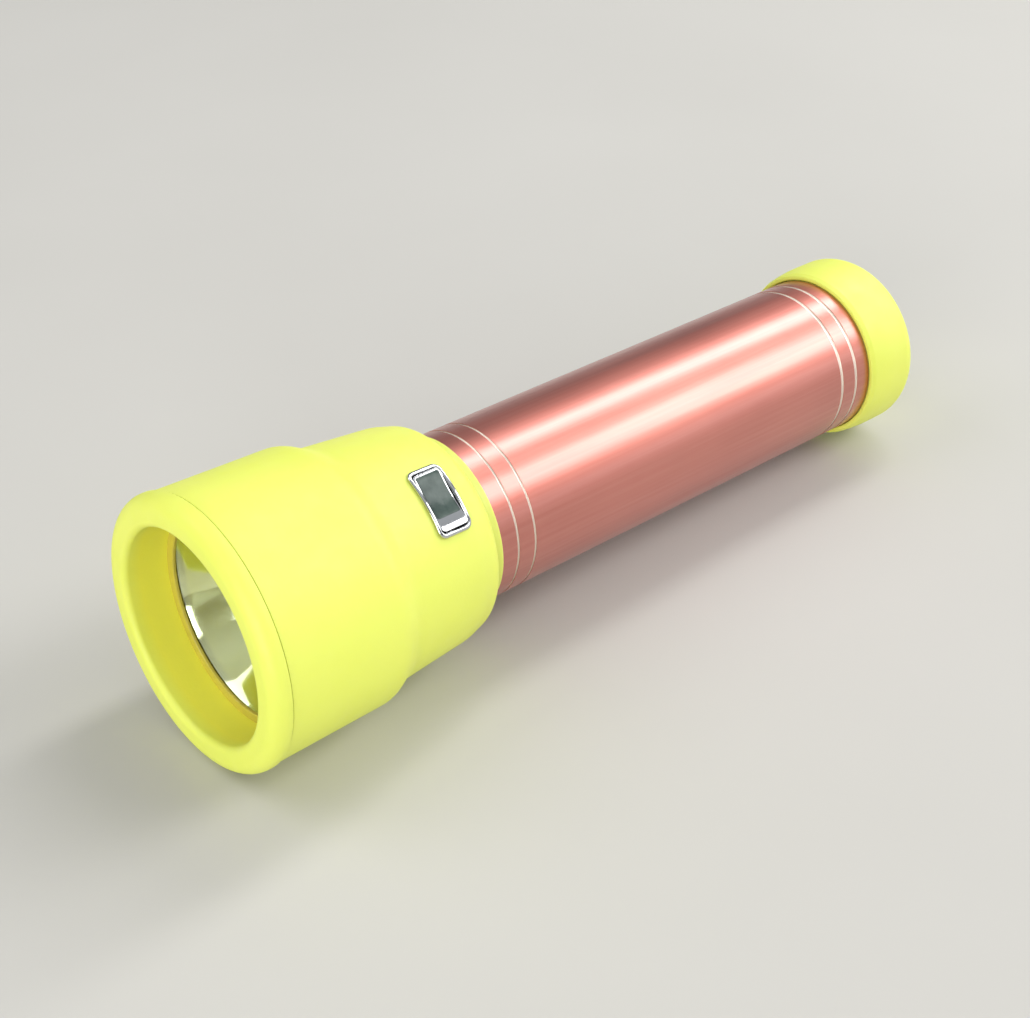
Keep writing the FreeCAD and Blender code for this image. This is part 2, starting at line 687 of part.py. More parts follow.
def round_top_rim(body, side, radius):
    """Rounds the outer or the inner edge of the tapered ring face on the frame's top."""
    shape = body.Tip.Shape
    rings = [face for face in shape.Faces
             if len(face.Wires) == 2 and isinstance(face.Surface, Part.Cone)]
    top = max(rings, key=lambda face: face.BoundBox.ZMax)
    wire = top.OuterWire
    if side == "inner":
        wire = [w for w in top.Wires if not w.isSame(top.OuterWire)][0]
    names = []
    for number, edge in enumerate(shape.Edges, start=1):
        if any(edge.isSame(rim) for rim in wire.Edges):
            names.append("Edge%d" % number)
    add_fillet(body, names, radius, "_%s_rim" % side)


def dish(body, name):
    """Scoops the top of a switch piece to the same shallow hollow, curved along Y."""
    sketch = new_sketch(body, name + "_section", "YZ_Plane")
    circle(sketch, "0", "z_button_top - dish_depth + dish_radius", "dish_radius")
    pocket = body.newObject("PartDesign::Pocket", name)
    pocket.Profile = sketch
    pocket.Type = "ThroughAll"
    pocket.Midplane = True
    doc.recompute()


def make_switch_button():
    """Chrome push button with a dished top, a seat for its inlay and a retaining flange."""
    body = new_body("switch_button")
    plan = new_sketch(body, "button_outline")
    rectangle(plan, "opening_width - button_gap - button_gap",
              "opening_length - button_gap - button_gap")
    extruded(body, plan, "button_block", "z_flange_low", "z_button_top")
    round_uprights(body, "button_corner")
    flange = new_sketch(body, "flange_outline")
    rectangle(flange, "opening_width + flange_overlap", "opening_length + flange_overlap")
    extruded(body, flange, "button_flange", "z_flange_low", "z_flange_high")
    dish(body, "button_dish")
    seat = new_sketch(body, "inlay_seat_outline")
    rectangle(seat, "insert_width", "insert_length", "insert_shift")
    extruded(body, seat, "inlay_seat", "z_button_top - dish_depth - insert_depth",
             "z_button_top + over", "PartDesign::Pocket")


def make_button_inlay():
    """Smoked plate let into the button, dished with it."""
    body = new_body("button_inlay")
    plan = new_sketch(body, "inlay_outline")
    rectangle(plan, "insert_width - insert_gap", "insert_length - insert_gap", "insert_shift")
    extruded(body, plan, "inlay_block", "z_button_top - dish_depth - insert_depth + hairline",
             "z_button_top - insert_set_back")
    dish(body, "inlay_dish")


def make_switch_housing():
    """Black box under the window, open towards the button."""
    body = new_body("switch_housing")
    outside = new_sketch(body, "housing_outline")
    rectangle(outside, "housing_width", "housing_length")
    extruded(body, outside, "housing_block", "z_housing_low", "z_housing_top")
    inside = new_sketch(body, "housing_hollow_outline")
    rectangle(inside, "housing_width - housing_wall - housing_wall",
              "housing_length - housing_wall - housing_wall")
    extruded(body, inside, "housing_hollow", "z_housing_floor", "z_housing_top + over",
             "PartDesign::Pocket")


def make_switch_contacts():
    """Moving contact disc under the button, its return spring and the two fixed terminals."""
    contact = new_body("switch_contact")
    disc = new_sketch(contact, "contact_outline")
    circle(disc, "x_switch", "0", "r_contact")
    extruded(contact, disc, "contact_plate", "z_flange_low - hairline - contact_disc",
             "z_flange_low - hairline")
    spring = new_body("switch_spring")
    wire = new_sketch(spring, "switch_spring_wire", "XZ_Plane")
    wire.AttachmentOffset = FreeCAD.Placement(V(amount("x_switch"), 0, 0), FreeCAD.Rotation())
    circle(wire, "r_switch_spring", "z_housing_floor + switch_wire + spring_lift", "switch_wire")
    wound(spring, "switch_spring_winding", wire, "V_Axis", "switch_spring_pitch",
          "switch_spring_turns")
    for name, side in (("switch_terminal_a", 1), ("switch_terminal_b", -1)):
        blade = doc.addObject("Part::Box", name)
        blade.Label = name
        blade.setExpression("Length", bound("blade_width"))
        blade.setExpression("Width", bound("blade_length"))
        blade.setExpression("Height", bound("blade_thickness"))
        blade.Placement.Base = V(amount("x_switch") - amount("blade_width") / 2,
                                 side * amount("blade_offset") - amount("blade_length") / 2,
                                 amount("z_housing_floor + hairline"))
        pieces[name] = blade


# ---------------------------------------------------------------- assembly

def lying_down():
    """Placement that rests the head's widest round and the cap's rear round on the ground.

    Both are arcs in the half section, so the ground is their common tangent."""
    cap_x = amount("x_cap_rear - cap_round")
    cap_r = amount("r_cap - cap_round")
    cup = math.atan2(amount("r_head_front - r_step_start"), amount("x_step_start - x_head_front"))
    step = math.atan2(amount("r_step_start - r_step_end"), amount("x_step_end - x_step_start"))
    step_round = amount("step_round")
    back = step_round * math.tan((step - cup) / 2)
    head_x = amount("x_step_start") - back * math.cos(cup) - step_round * math.sin(cup)
    head_r = amount("r_step_start") + back * math.sin(cup) - step_round * math.cos(cup)
    rise = head_r - cap_r
    run = cap_x - head_x
    tilt = math.acos((amount("cap_round") - step_round) / math.hypot(rise, run))
    tilt -= math.atan2(run, rise)
    lift = cap_x * math.sin(tilt) + cap_r * math.cos(tilt) + amount("cap_round")
    bead = amount("r_rim - rim_round")
    low_x = amount("rim_round") * math.cos(tilt) - bead * math.sin(tilt) - amount("rim_round")
    high_x = cap_x * math.cos(tilt) + cap_r * math.sin(tilt) + amount("cap_round")
    turn = FreeCAD.Rotation(V(0, 1, 0), math.degrees(tilt))
    return FreeCAD.Placement(V(-(low_x + high_x) / 2, 0, lift), turn)


SWITCH_PIECES = ("switch_frame", "switch_button", "button_inlay", "switch_housing", "switch_contact",
                 "switch_spring", "switch_terminal_a", "switch_terminal_b")


def check_pieces():
    """Stops the build if any object failed or any piece has no sound shape."""
    faults = [o.Name for o in doc.Objects if "Invalid" in o.State or "Error" in o.State]
    for name, piece in pieces.items():
        if piece.Shape.isNull() or not piece.Shape.isValid():
            faults.append(name)
    if faults:
        raise RuntimeError("failed pieces: " + ", ".join(faults))


def write_pieces():
    """Writes each piece to its own file and prints its solids and volume."""
    os.makedirs("parts", exist_ok=True)
    for name, piece in pieces.items():
        piece.Shape.exportStep("parts/%s.step" % name)
        print("%-20s %2d solid %10.2f mm3" % (name, len(piece.Shape.Solids), piece.Shape.Volume))


def main():
    make_bezel_ring()
    make_head_shell()
    make_lens_gasket()
    make_lens()
    make_reflector()
    make_lamp()
    make_board_screws()
    make_lamp_carrier()
    make_front_contacts()
    make_barrel()
    make_seal("front_seal", "x_front_seal", "r_barrel + front_seal_wire", "front_seal_wire")
    make_seal("tail_seal", "x_tail_seal", "r_tail_seal", "tail_seal_wire")
    make_cells()
    make_tail_cap()
    make_tail_contacts()
    make_switch_frame()
    make_switch_button()
    make_button_inlay()
    make_switch_housing()
    make_switch_contacts()
    doc.recompute()

    ground = lying_down()
    for name, piece in pieces.items():
        turn = switch_turn() if name in SWITCH_PIECES else FreeCAD.Placement()
        piece.Placement = ground.multiply(turn).multiply(piece.Placement)
    doc.recompute()
    check_pieces()
    write_pieces()


main()
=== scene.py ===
"""Looks of the firefighter flashlight: materials, finer visible shells, light and camera."""
import json
import math

import bpy
import bmesh
from mathutils import Matrix, Vector

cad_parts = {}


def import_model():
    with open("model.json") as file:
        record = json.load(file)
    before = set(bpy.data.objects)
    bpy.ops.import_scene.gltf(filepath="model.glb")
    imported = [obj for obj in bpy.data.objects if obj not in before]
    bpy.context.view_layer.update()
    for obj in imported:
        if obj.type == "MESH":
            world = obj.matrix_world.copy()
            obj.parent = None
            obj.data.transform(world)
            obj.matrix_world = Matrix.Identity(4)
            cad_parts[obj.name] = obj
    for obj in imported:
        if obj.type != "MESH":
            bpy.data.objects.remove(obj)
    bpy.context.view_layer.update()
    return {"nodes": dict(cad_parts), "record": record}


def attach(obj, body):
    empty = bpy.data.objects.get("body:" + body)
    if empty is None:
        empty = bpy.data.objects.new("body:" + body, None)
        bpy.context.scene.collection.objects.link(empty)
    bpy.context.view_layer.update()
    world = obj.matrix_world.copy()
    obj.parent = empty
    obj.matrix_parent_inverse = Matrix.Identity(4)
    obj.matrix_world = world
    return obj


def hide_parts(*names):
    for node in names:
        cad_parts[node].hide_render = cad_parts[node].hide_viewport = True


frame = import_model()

MM = 0.001

# ------------------------------------------------------------------ the flashlight's own axis
# Stations run along the axis from the front rim. LOCAL's space has +X to the tail and +Z up.
JOINTS = {joint["name"]: joint for joint in frame["record"]["behaviour"]["joints"]}
AXIS = Vector(JOINTS["cap_turn"]["axis"]).normalized()
CAP_STATION = 182 * MM
ORIGIN = Vector(JOINTS["cap_turn"]["pos_m"]) - AXIS * CAP_STATION
ACROSS = Vector((0, 1, 0))
UP = AXIS.cross(ACROSS)
LOCAL = Matrix.Translation(ORIGIN) @ Matrix((AXIS, ACROSS, UP)).transposed().to_4x4()
SWITCH_ROLL = math.radians(38)


# ------------------------------------------------------------------ node helpers

class Shader:
    """A material under construction, with its nodes added by short calls."""

    def __init__(self, name):
        self.material = bpy.data.materials.new(name)
        self.material.use_nodes = True
        self.tree = self.material.node_tree
        self.surface = self.tree.nodes["Principled BSDF"]
        coords = self.add("ShaderNodeTexCoord")
        inverse = LOCAL.inverted()
        self.place = self.add("ShaderNodeMapping", coords.outputs["Object"])
        self.place.inputs["Rotation"].default_value = inverse.to_euler()
        self.place.inputs["Location"].default_value = inverse.translation
        self.point = self.place.outputs[0]
        parts = self.add("ShaderNodeSeparateXYZ", self.point)
        self.x, self.y, self.z = parts.outputs[0], parts.outputs[1], parts.outputs[2]

    def add(self, kind, *inputs, **settings):
        """Adds a node with its settings and feeds its inputs in order."""
        node = self.tree.nodes.new(kind)
        for key, value in settings.items():
            setattr(node, key, value)
        for index, value in enumerate(inputs):
            self.put(node.inputs[index], value)
        return node

    def put(self, socket, value):
        """Links another node's output to a socket, or sets a plain value on it."""
        if value is None:
            return
        if isinstance(value, bpy.types.NodeSocket):
            self.tree.links.new(value, socket)
        else:
            socket.default_value = value

    def set(self, **sockets):
        """Feeds sockets of the surface shader, named with _ in place of spaces."""
        for name, value in sockets.items():
            self.put(self.surface.inputs[name.replace("_", " ")], value)

    def math(self, operation, a, b=None):
        return self.add("ShaderNodeMath", a, b, operation=operation).outputs[0]

    def radius(self):
        """Distance from the flashlight's axis, in metres."""
        squares = self.math("ADD", self.math("MULTIPLY", self.y, self.y),
                            self.math("MULTIPLY", self.z, self.z))
        return self.math("SQRT", squares)

    def noise(self, scale, detail=3.0, stretch=(1, 1, 1)):
        """Noise between 0 and 1; scale is in features per metre, stretch scales each axis."""
        vector = self.point
        if stretch != (1, 1, 1):
            vector = self.add("ShaderNodeVectorMath", vector, stretch,
                              operation="MULTIPLY").outputs[0]
        node = self.add("ShaderNodeTexNoise")
        self.put(node.inputs["Vector"], vector)
        node.inputs["Scale"].default_value = scale
        node.inputs["Detail"].default_value = detail
        return node.outputs["Fac"]

    def remap(self, value, low, high, to_low=0.0, to_high=1.0):
        """Maps low to high onto to_low to to_high, and holds the ends beyond them."""
        node = self.add("ShaderNodeMapRange", value, low, high, to_low, to_high)
        node.clamp = True
        return node.outputs[0]

    def mix(self, factor, a, b):
        """Blends from colour a, at factor 0, to colour b, at factor 1."""
        node = self.add("ShaderNodeMix", data_type="RGBA")
        self.put(node.inputs["Factor"], factor)
        self.put(node.inputs["A"], a)
        self.put(node.inputs["B"], b)
        return node.outputs["Result"]

    def bump(self, height, distance, strength=1.0):
        """Raises the surface by up to distance, in metres, where height is 1."""
        node = self.add("ShaderNodeBump")
        node.inputs["Strength"].default_value = strength
        node.inputs["Distance"].default_value = distance
        self.put(node.inputs["Height"], height)
        self.put(self.surface.inputs["Normal"], node.outputs[0])


def colour(r, g, b):
    """Opaque linear colour."""
    return (r, g, b, 1.0)


# ------------------------------------------------------------------ materials

def yellow_plastic():
    """Glossy moulded lime-yellow plastic, faintly mottled, with painted light in the hollow before
    the lens, which is painted brighter and more golden.
    """
    s = Shader("yellow_plastic")
    cloud = s.noise(45, 3)
    flow = s.noise(14, 2, stretch=(0.4, 1, 1))
    tone = s.mix(s.remap(cloud, 0.35, 0.65), colour(0.80, 0.865, 0.125), colour(0.84, 0.89, 0.15))
    tone = s.mix(s.remap(flow, 0.4, 0.7, 0, 0.5), tone, colour(0.79, 0.885, 0.125))
    # Painted light: the wall of the hollow before the lens is painted brighter and more golden. This
    # stands in for light bounced round inside it.
    behind_lip = s.remap(s.x, 0.8 * MM, 4.0 * MM)
    inside_wall = s.remap(s.radius(), 23.6 * MM, 22.9 * MM)
    before_lens = s.remap(s.x, 11.5 * MM, 10.5 * MM)
    recess_painted_light = s.math("MULTIPLY", s.math("MULTIPLY", behind_lip, inside_wall), before_lens)
    tone = s.mix(recess_painted_light, tone, colour(0.97, 0.93, 0.085))
    s.set(Base_Color=tone, Roughness=s.remap(s.noise(300, 4), 0.3, 0.7, 0.46, 0.60))
    s.surface.inputs["Subsurface Weight"].default_value = 0.22
    s.surface.inputs["Subsurface Radius"].default_value = (0.006, 0.005, 0.0015)
    s.surface.inputs["Subsurface Scale"].default_value = 1.0
    s.surface.inputs["IOR"].default_value = 1.55
    grain = s.math("ADD", s.noise(1500, 2), s.math("MULTIPLY", s.noise(160, 2), 0.6))
    s.bump(grain, 0.04 * MM, 0.5)
    return s.material


def red_aluminium():
    """Satin red-anodised tube, drawn lengthwise; the grooves and the thread show bare metal."""
    s = Shader("red_aluminium")
    draw = s.noise(1200, 3, stretch=(0.02, 1, 1))
    cloud = s.noise(28, 3)
    red = s.mix(s.remap(cloud, 0.35, 0.65), colour(0.55, 0.150, 0.108), colour(0.60, 0.175, 0.128))
    red = s.mix(s.remap(draw, 0.35, 0.7, 0, 0.3), red, colour(0.68, 0.25, 0.19))
    above_grooves = s.remap(s.radius(), 18.28 * MM, 18.42 * MM)
    thread = s.remap(s.x, 176.0 * MM, 176.6 * MM)
    anodised = s.math("MULTIPLY", above_grooves, s.math("SUBTRACT", 1.0, thread))
    turned = s.noise(1800, 2, stretch=(1, 0.05, 0.05))
    metal = s.mix(turned, colour(0.86, 0.80, 0.72), colour(0.95, 0.90, 0.82))
    s.set(Base_Color=s.mix(anodised, metal, red), Metallic=1.0,
          Roughness=s.remap(s.noise(500, 3, stretch=(0.05, 1, 1)), 0.3, 0.7, 0.42, 0.5))
    s.surface.inputs["Coat Weight"].default_value = 1.0
    s.surface.inputs["Coat Roughness"].default_value = 0.27
    s.surface.inputs["Coat IOR"].default_value = 1.85
    s.bump(draw, 0.006 * MM, 0.3)
    return s.material


def chrome(name, rough_low, rough_high, tint=(0.56, 0.57, 0.58)):
    """Bright plated metal with faint smudges."""
    s = Shader(name)
    smudge = s.noise(120, 4)
    brighter = [1.1 * part for part in tint]
    s.set(Base_Color=s.mix(smudge, colour(*tint), colour(*brighter)), Metallic=1.0,
          Roughness=s.remap(smudge, 0.3, 0.7, rough_low, rough_high))
    s.bump(s.noise(700, 2), 0.01 * MM, 0.3)
    return s.material


def clear_lens():
    """Clear acrylic window with a faint yellow-green cast."""
    s = Shader("clear_lens")
    s.set(Base_Color=colour(0.94, 0.965, 0.80),
          Roughness=s.remap(s.noise(90, 3), 0.4, 0.8, 0.0, 0.05))
    s.surface.inputs["Transmission Weight"].default_value = 1.0
    s.surface.inputs["IOR"].default_value = 1.49
    return s.material


def plain(name, low, high, rough, metallic=0.0):
    """A simple finish with mottled colour, uneven gloss and a fine grain."""
    s = Shader(name)
    cloud, gloss, grain = s.noise(100.0, 3), s.noise(500, 3), s.noise(1000, 2)
    s.set(Base_Color=s.mix(s.remap(cloud, 0.3, 0.7), colour(*low), colour(*high)),
          Metallic=metallic,
          Roughness=s.remap(gloss, 0.3, 0.7, rough * 0.85, rough * 1.15))
    s.bump(grain, 0.03 * MM, 0.5)
    return s.material


def smoked_inlay():
    """Dark grey-green plate with a quiet gloss and uneven depth of colour."""
    s = Shader("smoked_inlay")
    cloud = s.noise(420, 3)
    tone = s.mix(s.remap(cloud, 0.3, 0.7), colour(0.050, 0.075, 0.065), colour(0.10, 0.13, 0.115))
    s.set(Base_Color=tone, Roughness=s.remap(s.noise(900, 3), 0.3, 0.7, 0.12, 0.22))
    s.surface.inputs["Specular IOR Level"].default_value = 0.22
    s.bump(s.noise(1600, 2), 0.008 * MM, 0.4)
    return s.material


def turned_metal(name, low, high, rough):
    """Machined or drawn metal with fine rings about the axis."""
    s = Shader(name)
    rings = s.noise(1400, 2, stretch=(1, 0.05, 0.05))
    s.set(Base_Color=s.mix(rings, colour(*low), colour(*high)), Metallic=1.0,
          Roughness=s.remap(s.noise(300, 3), 0.3, 0.7, rough * 0.8, rough * 1.2))
    s.bump(rings, 0.02 * MM, 0.4)
    return s.material


def cell_jacket():
    """Plain two-tone battery jacket with bare steel ends and no lettering."""
    s = Shader("cell_jacket")
    cell_length = 61.3 * MM
    first_cell = 58.4 * MM
    along = s.math("MODULO", s.math("SUBTRACT", s.x, first_cell), cell_length)
    gold = s.remap(along, 17.4 * MM, 17.5 * MM, 1.0, 0.0)
    paint = s.mix(gold, colour(0.02, 0.022, 0.028), colour(0.72, 0.40, 0.13))
    side = s.remap(s.radius(), 15.6 * MM, 15.8 * MM)
    body = s.math("MULTIPLY", side, s.remap(along, 2.2 * MM, 2.4 * MM))
    scuff = s.noise(260, 4)
    gold_shine = s.mix(gold, colour(0, 0, 0), colour(0.8, 0.8, 0.8))
    s.set(Base_Color=s.mix(body, colour(0.72, 0.71, 0.68), paint),
          Metallic=s.mix(body, colour(1, 1, 1), gold_shine),
          Roughness=s.remap(scuff, 0.3, 0.7, 0.22, 0.38))
    s.bump(s.noise(900, 2), 0.01 * MM, 0.3)
    return s.material


MATERIALS = {
    "yellow_plastic": yellow_plastic(),
    "red_aluminium": red_aluminium(),
    "chrome_trim": chrome("chrome_trim", 0.05, 0.11),
    "smoked_inlay": smoked_inlay(),
    "mirror_bowl": chrome("mirror_bowl", 0.06, 0.12, (0.80, 0.83, 0.80)),
    "clear_lens": clear_lens(),
    # Painted reflection: the seal's golden olive colour stands in for the yellow wall of the hollow
    # before the lens, reflected in it.
    "olive_seal": plain("olive_seal", (0.50, 0.42, 0.05), (0.60, 0.50, 0.07), 0.4),
    "black_rubber": plain("black_rubber", (0.012, 0.012, 0.012), (0.022, 0.022, 0.022), 0.6),
    "led_phosphor": plain("led_phosphor", (0.80, 0.62, 0.10), (0.88, 0.72, 0.18), 0.2),
    "white_board": plain("white_board", (0.72, 0.73, 0.72), (0.80, 0.80, 0.79), 0.35),
    "bare_aluminium": turned_metal("bare_aluminium", (0.62, 0.63, 0.65), (0.78, 0.79, 0.80), 0.35),
    "steel": turned_metal("steel", (0.5, 0.5, 0.52), (0.66, 0.66, 0.67), 0.3),
    "black_plastic": plain("black_plastic", (0.012, 0.012, 0.014), (0.024, 0.024, 0.026), 0.45),
    "brass": turned_metal("brass", (0.62, 0.42, 0.14), (0.75, 0.54, 0.22), 0.25),
    "spring_steel": plain("spring_steel", (0.55, 0.55, 0.56), (0.72, 0.72, 0.73), 0.22, 1.0),
    "cell_jacket": cell_jacket(),
    "sleeve_card": plain("sleeve_card", (0.66, 0.62, 0.50), (0.78, 0.74, 0.62), 0.5),
}

for part in frame["record"]["subparts"]:
    node = frame["nodes"][part["node"]]
    node.data.materials.clear()
    node.data.materials.append(MATERIALS[part["material_slot"]])


# ------------------------------------------------------------------ the push switch

# In switch space +X runs to the tail, +Y across the switch and +Z straight out of the head.
SWITCH_SPACE = LOCAL @ Matrix.Rotation(SWITCH_ROLL, 4, "X")
CORNER_STEPS = 7
LONG_STEPS = 14
SHORT_STEPS = 6


def switch_corners(node):
    """Lowest and highest corners of a CAD node, measured in switch space."""
    inverse = SWITCH_SPACE.inverted()
    points = [inverse @ vertex.co for vertex in frame["nodes"][node].data.vertices]
    low = Vector([min(p[i] for p in points) for i in range(3)])
    high = Vector([max(p[i] for p in points) for i in range(3)])
    return low, high


def head_height(x, y):
    """Height of the head's tapered skin in switch space, at a point of the switch."""
    return math.sqrt((HEAD_RADIUS - HEAD_SLOPE * (x - SWITCH_CENTRE.x)) ** 2 - y * y)


def rounded_outline(half_x, half_y, corner, shift=0.0):
    """Points round a rectangle with round corners, always the same number in the same order."""
    points = []
    quarter = math.pi / 2
    centres = ((1, 1, 0), (-1, 1, 1), (-1, -1, 2), (1, -1, 3))
    for sign_x, sign_y, turn in centres:
        cx, cy = sign_x * (half_x - corner), sign_y * (half_y - corner)
        for step in range(CORNER_STEPS + 1):
            angle = quarter * (turn + step / CORNER_STEPS)
            points.append((cx + corner * math.cos(angle), cy + corner * math.sin(angle)))
        start = points[-1]
        next_x, next_y, next_turn = centres[(turn + 1) % 4]
        begin = quarter * next_turn
        end = (next_x * (half_x - corner) + corner * math.cos(begin),
               next_y * (half_y - corner) + corner * math.sin(begin))
        steps = SHORT_STEPS if turn % 2 == 0 else LONG_STEPS
        for step in range(1, steps):
            share = step / steps
            points.append((start[0] + (end[0] - start[0]) * share,
                           start[1] + (end[1] - start[1]) * share))
    return [(SWITCH_CENTRE.x + x, y + shift) for x, y in points]


def loops_to_piece(name, loops, closed, material, body, replaced, space):
    """Joins loops of points, given in one of the spaces, into one skin that rides on a body."""
    shape = bmesh.new()
    rings = [[shape.verts.new(space @ Vector(point)) for point in loop] for loop in loops]
    pairs = list(zip(rings, rings[1:]))
    if closed:
        pairs.append((rings[-1], rings[0]))
    for lower, upper in pairs:
        count = len(lower)
        for i in range(count):
            after = (i + 1) % count
            shape.faces.new((lower[i], lower[after], upper[after], upper[i]))
    if not closed:
        shape.faces.new(list(reversed(rings[0])))
        shape.faces.new(rings[-1])
    bmesh.ops.recalc_face_normals(shape, faces=shape.faces)
    mesh = bpy.data.meshes.new(name)
    shape.to_mesh(mesh)
    shape.free()
    mesh.shade_smooth()
    mesh.set_sharp_from_angle(angle=math.radians(42))
    mesh.materials.append(MATERIALS[material])
    piece = bpy.data.objects.new(name, mesh)
    bpy.context.collection.objects.link(piece)
    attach(piece, body)
    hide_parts(replaced)


FRAME_LOW, FRAME_HIGH = switch_corners("switch_frame")
BUTTON_LOW, BUTTON_HIGH = switch_corners("switch_button")
INLAY_LOW, INLAY_HIGH = switch_corners("button_inlay")
SWITCH_CENTRE = (FRAME_LOW + FRAME_HIGH) / 2
# The head is a cone here: its radius at the switch's middle, and how fast it narrows to the tail.
HEAD_RADIUS = 24.32 * MM
HEAD_SLOPE = 0.0886
# A gap that is too small to see, between faces that would otherwise lie in one plane.
HAIRLINE = 0.02 * MM
# The frame: its bead's width, highest rise and upright sides over the head, its foot's gap over
# the head, its corner's radius, and the wall of the skirt that goes down through the window.
FRAME_BORDER = 0.9 * MM
FRAME_RISE = 0.75 * MM
FRAME_SIDE = 0.28 * MM
FRAME_BASE = 0.04 * MM
FRAME_CORNER = 1.7 * MM
SKIRT_WALL = 0.38 * MM
# The button: its flange inside the head, its corners and edges, the hollow along its length,
# and the seat that the inlay lies in.
FLANGE_REACH = 0.55 * MM
FLANGE_HEIGHT = 0.85 * MM
BUTTON_CORNER = 0.8 * MM
BUTTON_EDGE = 0.16 * MM
DISH_RADIUS = 30 * MM
DISH_DEPTH = 0.35 * MM
SEAT_CORNER = 0.45 * MM
SEAT_DEPTH = 0.3 * MM


def switch_frame():
    """Chrome bead that follows the head, with a thin skirt down through the window."""
    half_x = (FRAME_HIGH.x - FRAME_LOW.x) / 2
    half_y = (FRAME_HIGH.y - FRAME_LOW.y) / 2
    profile = [(0.0, FRAME_BASE)]
    arc_steps = 12
    fullness = 0.8
    for step in range(arc_steps + 1):
        angle = math.pi * step / arc_steps
        inward = FRAME_BORDER * (1 - math.cos(angle)) / 2
        rise = FRAME_SIDE + (FRAME_RISE - FRAME_SIDE) * math.sin(angle) ** fullness
        profile.append((inward, rise))
    loops = []
    for inward, rise in profile:
        outline = rounded_outline(half_x - inward, half_y - inward, FRAME_CORNER - inward)
        loops.append([(x, y, head_height(x, y) + rise) for x, y in outline])
    skirt_outside = FRAME_BORDER - SKIRT_WALL
    for inward in (FRAME_BORDER, skirt_outside):
        outline = rounded_outline(half_x - inward, half_y - inward, FRAME_CORNER - inward)
        loops.append([(x, y, FRAME_LOW.z + HAIRLINE) for x, y in outline])
    loops.append([(x, y, head_height(x, y) + FRAME_BASE) for x, y in outline])
    loops_to_piece("switch_bezel", loops, True, "chrome_trim", "flashlight", "switch_frame",
                   SWITCH_SPACE)


def dished(y):
    """Height of the button's shallow hollow, which starts at its ends."""
    lowest = BUTTON_HIGH.z - DISH_DEPTH
    hollow = lowest + DISH_RADIUS - math.sqrt(DISH_RADIUS ** 2 - y * y)
    return min(hollow, BUTTON_HIGH.z)


def switch_button():
    """Chrome button with soft edges, dished along its length, and a seat for the inlay."""
    half_x = (BUTTON_HIGH.x - BUTTON_LOW.x) / 2 - FLANGE_REACH
    half_y = (BUTTON_HIGH.y - BUTTON_LOW.y) / 2 - FLANGE_REACH
    flange = 0.5 * MM
    loops = []
    for wide, height in ((flange, HAIRLINE), (flange, FLANGE_HEIGHT), (0, FLANGE_HEIGHT + HAIRLINE)):
        outline = rounded_outline(half_x + wide, half_y + wide, BUTTON_CORNER)
        loops.append([(x, y, BUTTON_LOW.z + height) for x, y in outline])
    round_steps = 6
    for step in range(round_steps + 1):
        angle = math.pi / 2 * step / round_steps
        inward = BUTTON_EDGE * (1 - math.cos(angle))
        drop = BUTTON_EDGE * (1 - math.sin(angle))
        outline = rounded_outline(half_x - inward, half_y - inward, BUTTON_CORNER - inward)
        loops.append([(x, y, dished(y) - drop) for x, y in outline])
    seat_x = (INLAY_HIGH.x - INLAY_LOW.x) / 2
    seat_y = (INLAY_HIGH.y - INLAY_LOW.y) / 2
    shift = (INLAY_HIGH.y + INLAY_LOW.y) / 2
    seat = rounded_outline(seat_x, seat_y, SEAT_CORNER, shift)
    last = loops[-1]
    for share in (0.25, 0.5, 0.75, 1.0):
        ring = []
        for (x0, y0, _), (x1, y1) in zip(last, seat):
            x, y = x0 + (x1 - x0) * share, y0 + (y1 - y0) * share
            ring.append((x, y, dished(y)))
        loops.append(ring)
    loops.append([(x, y, dished(y) - SEAT_DEPTH) for x, y in seat])
    loops_to_piece("switch_key", loops, False, "chrome_trim", "push_button", "switch_button",
                   SWITCH_SPACE)


def button_inlay():
    """Smoked plate in the button's seat, hollowed with it and softened at its border."""
    half_x = (INLAY_HIGH.x - INLAY_LOW.x) / 2 - HAIRLINE
    half_y = (INLAY_HIGH.y - INLAY_LOW.y) / 2 - HAIRLINE
    shift = (INLAY_HIGH.y + INLAY_LOW.y) / 2
    corner = SEAT_CORNER - HAIRLINE
    loops = []
    for inward, drop in ((0, SEAT_DEPTH - HAIRLINE), (0, 0.06 * MM), (0.03 * MM, 0.02 * MM),
                         (0.1 * MM, 0), (0.4 * MM, 0)):
        outline = rounded_outline(half_x - inward, half_y - inward, corner - inward, shift)
        loops.append([(x, y, dished(y) - drop) for x, y in outline])
    # Towards the middle the outlines close to a narrow strip along the plate's length.
    for share in (0.8, 0.6, 0.4, 0.2, 0.05):
        strip = half_y * (0.45 + 0.55 * share)
        outline = rounded_outline(half_x * share, strip, 0.03 * MM * share, shift)
        loops.append([(x, y, dished(y)) for x, y in outline])
    loops_to_piece("switch_inlay", loops, False, "smoked_inlay", "push_button", "button_inlay",
                   SWITCH_SPACE)


switch_frame()
switch_button()
button_inlay()


# ------------------------------------------------------------------ the reflector

# Radii of the bowl's mouth and throat, its wall, and the thickness of the flange round its mouth.
BOWL_MOUTH = 21.9 * MM
BOWL_THROAT = 4.2 * MM
BOWL_WALL = 0.9 * MM
BOWL_FLANGE = 1.2 * MM


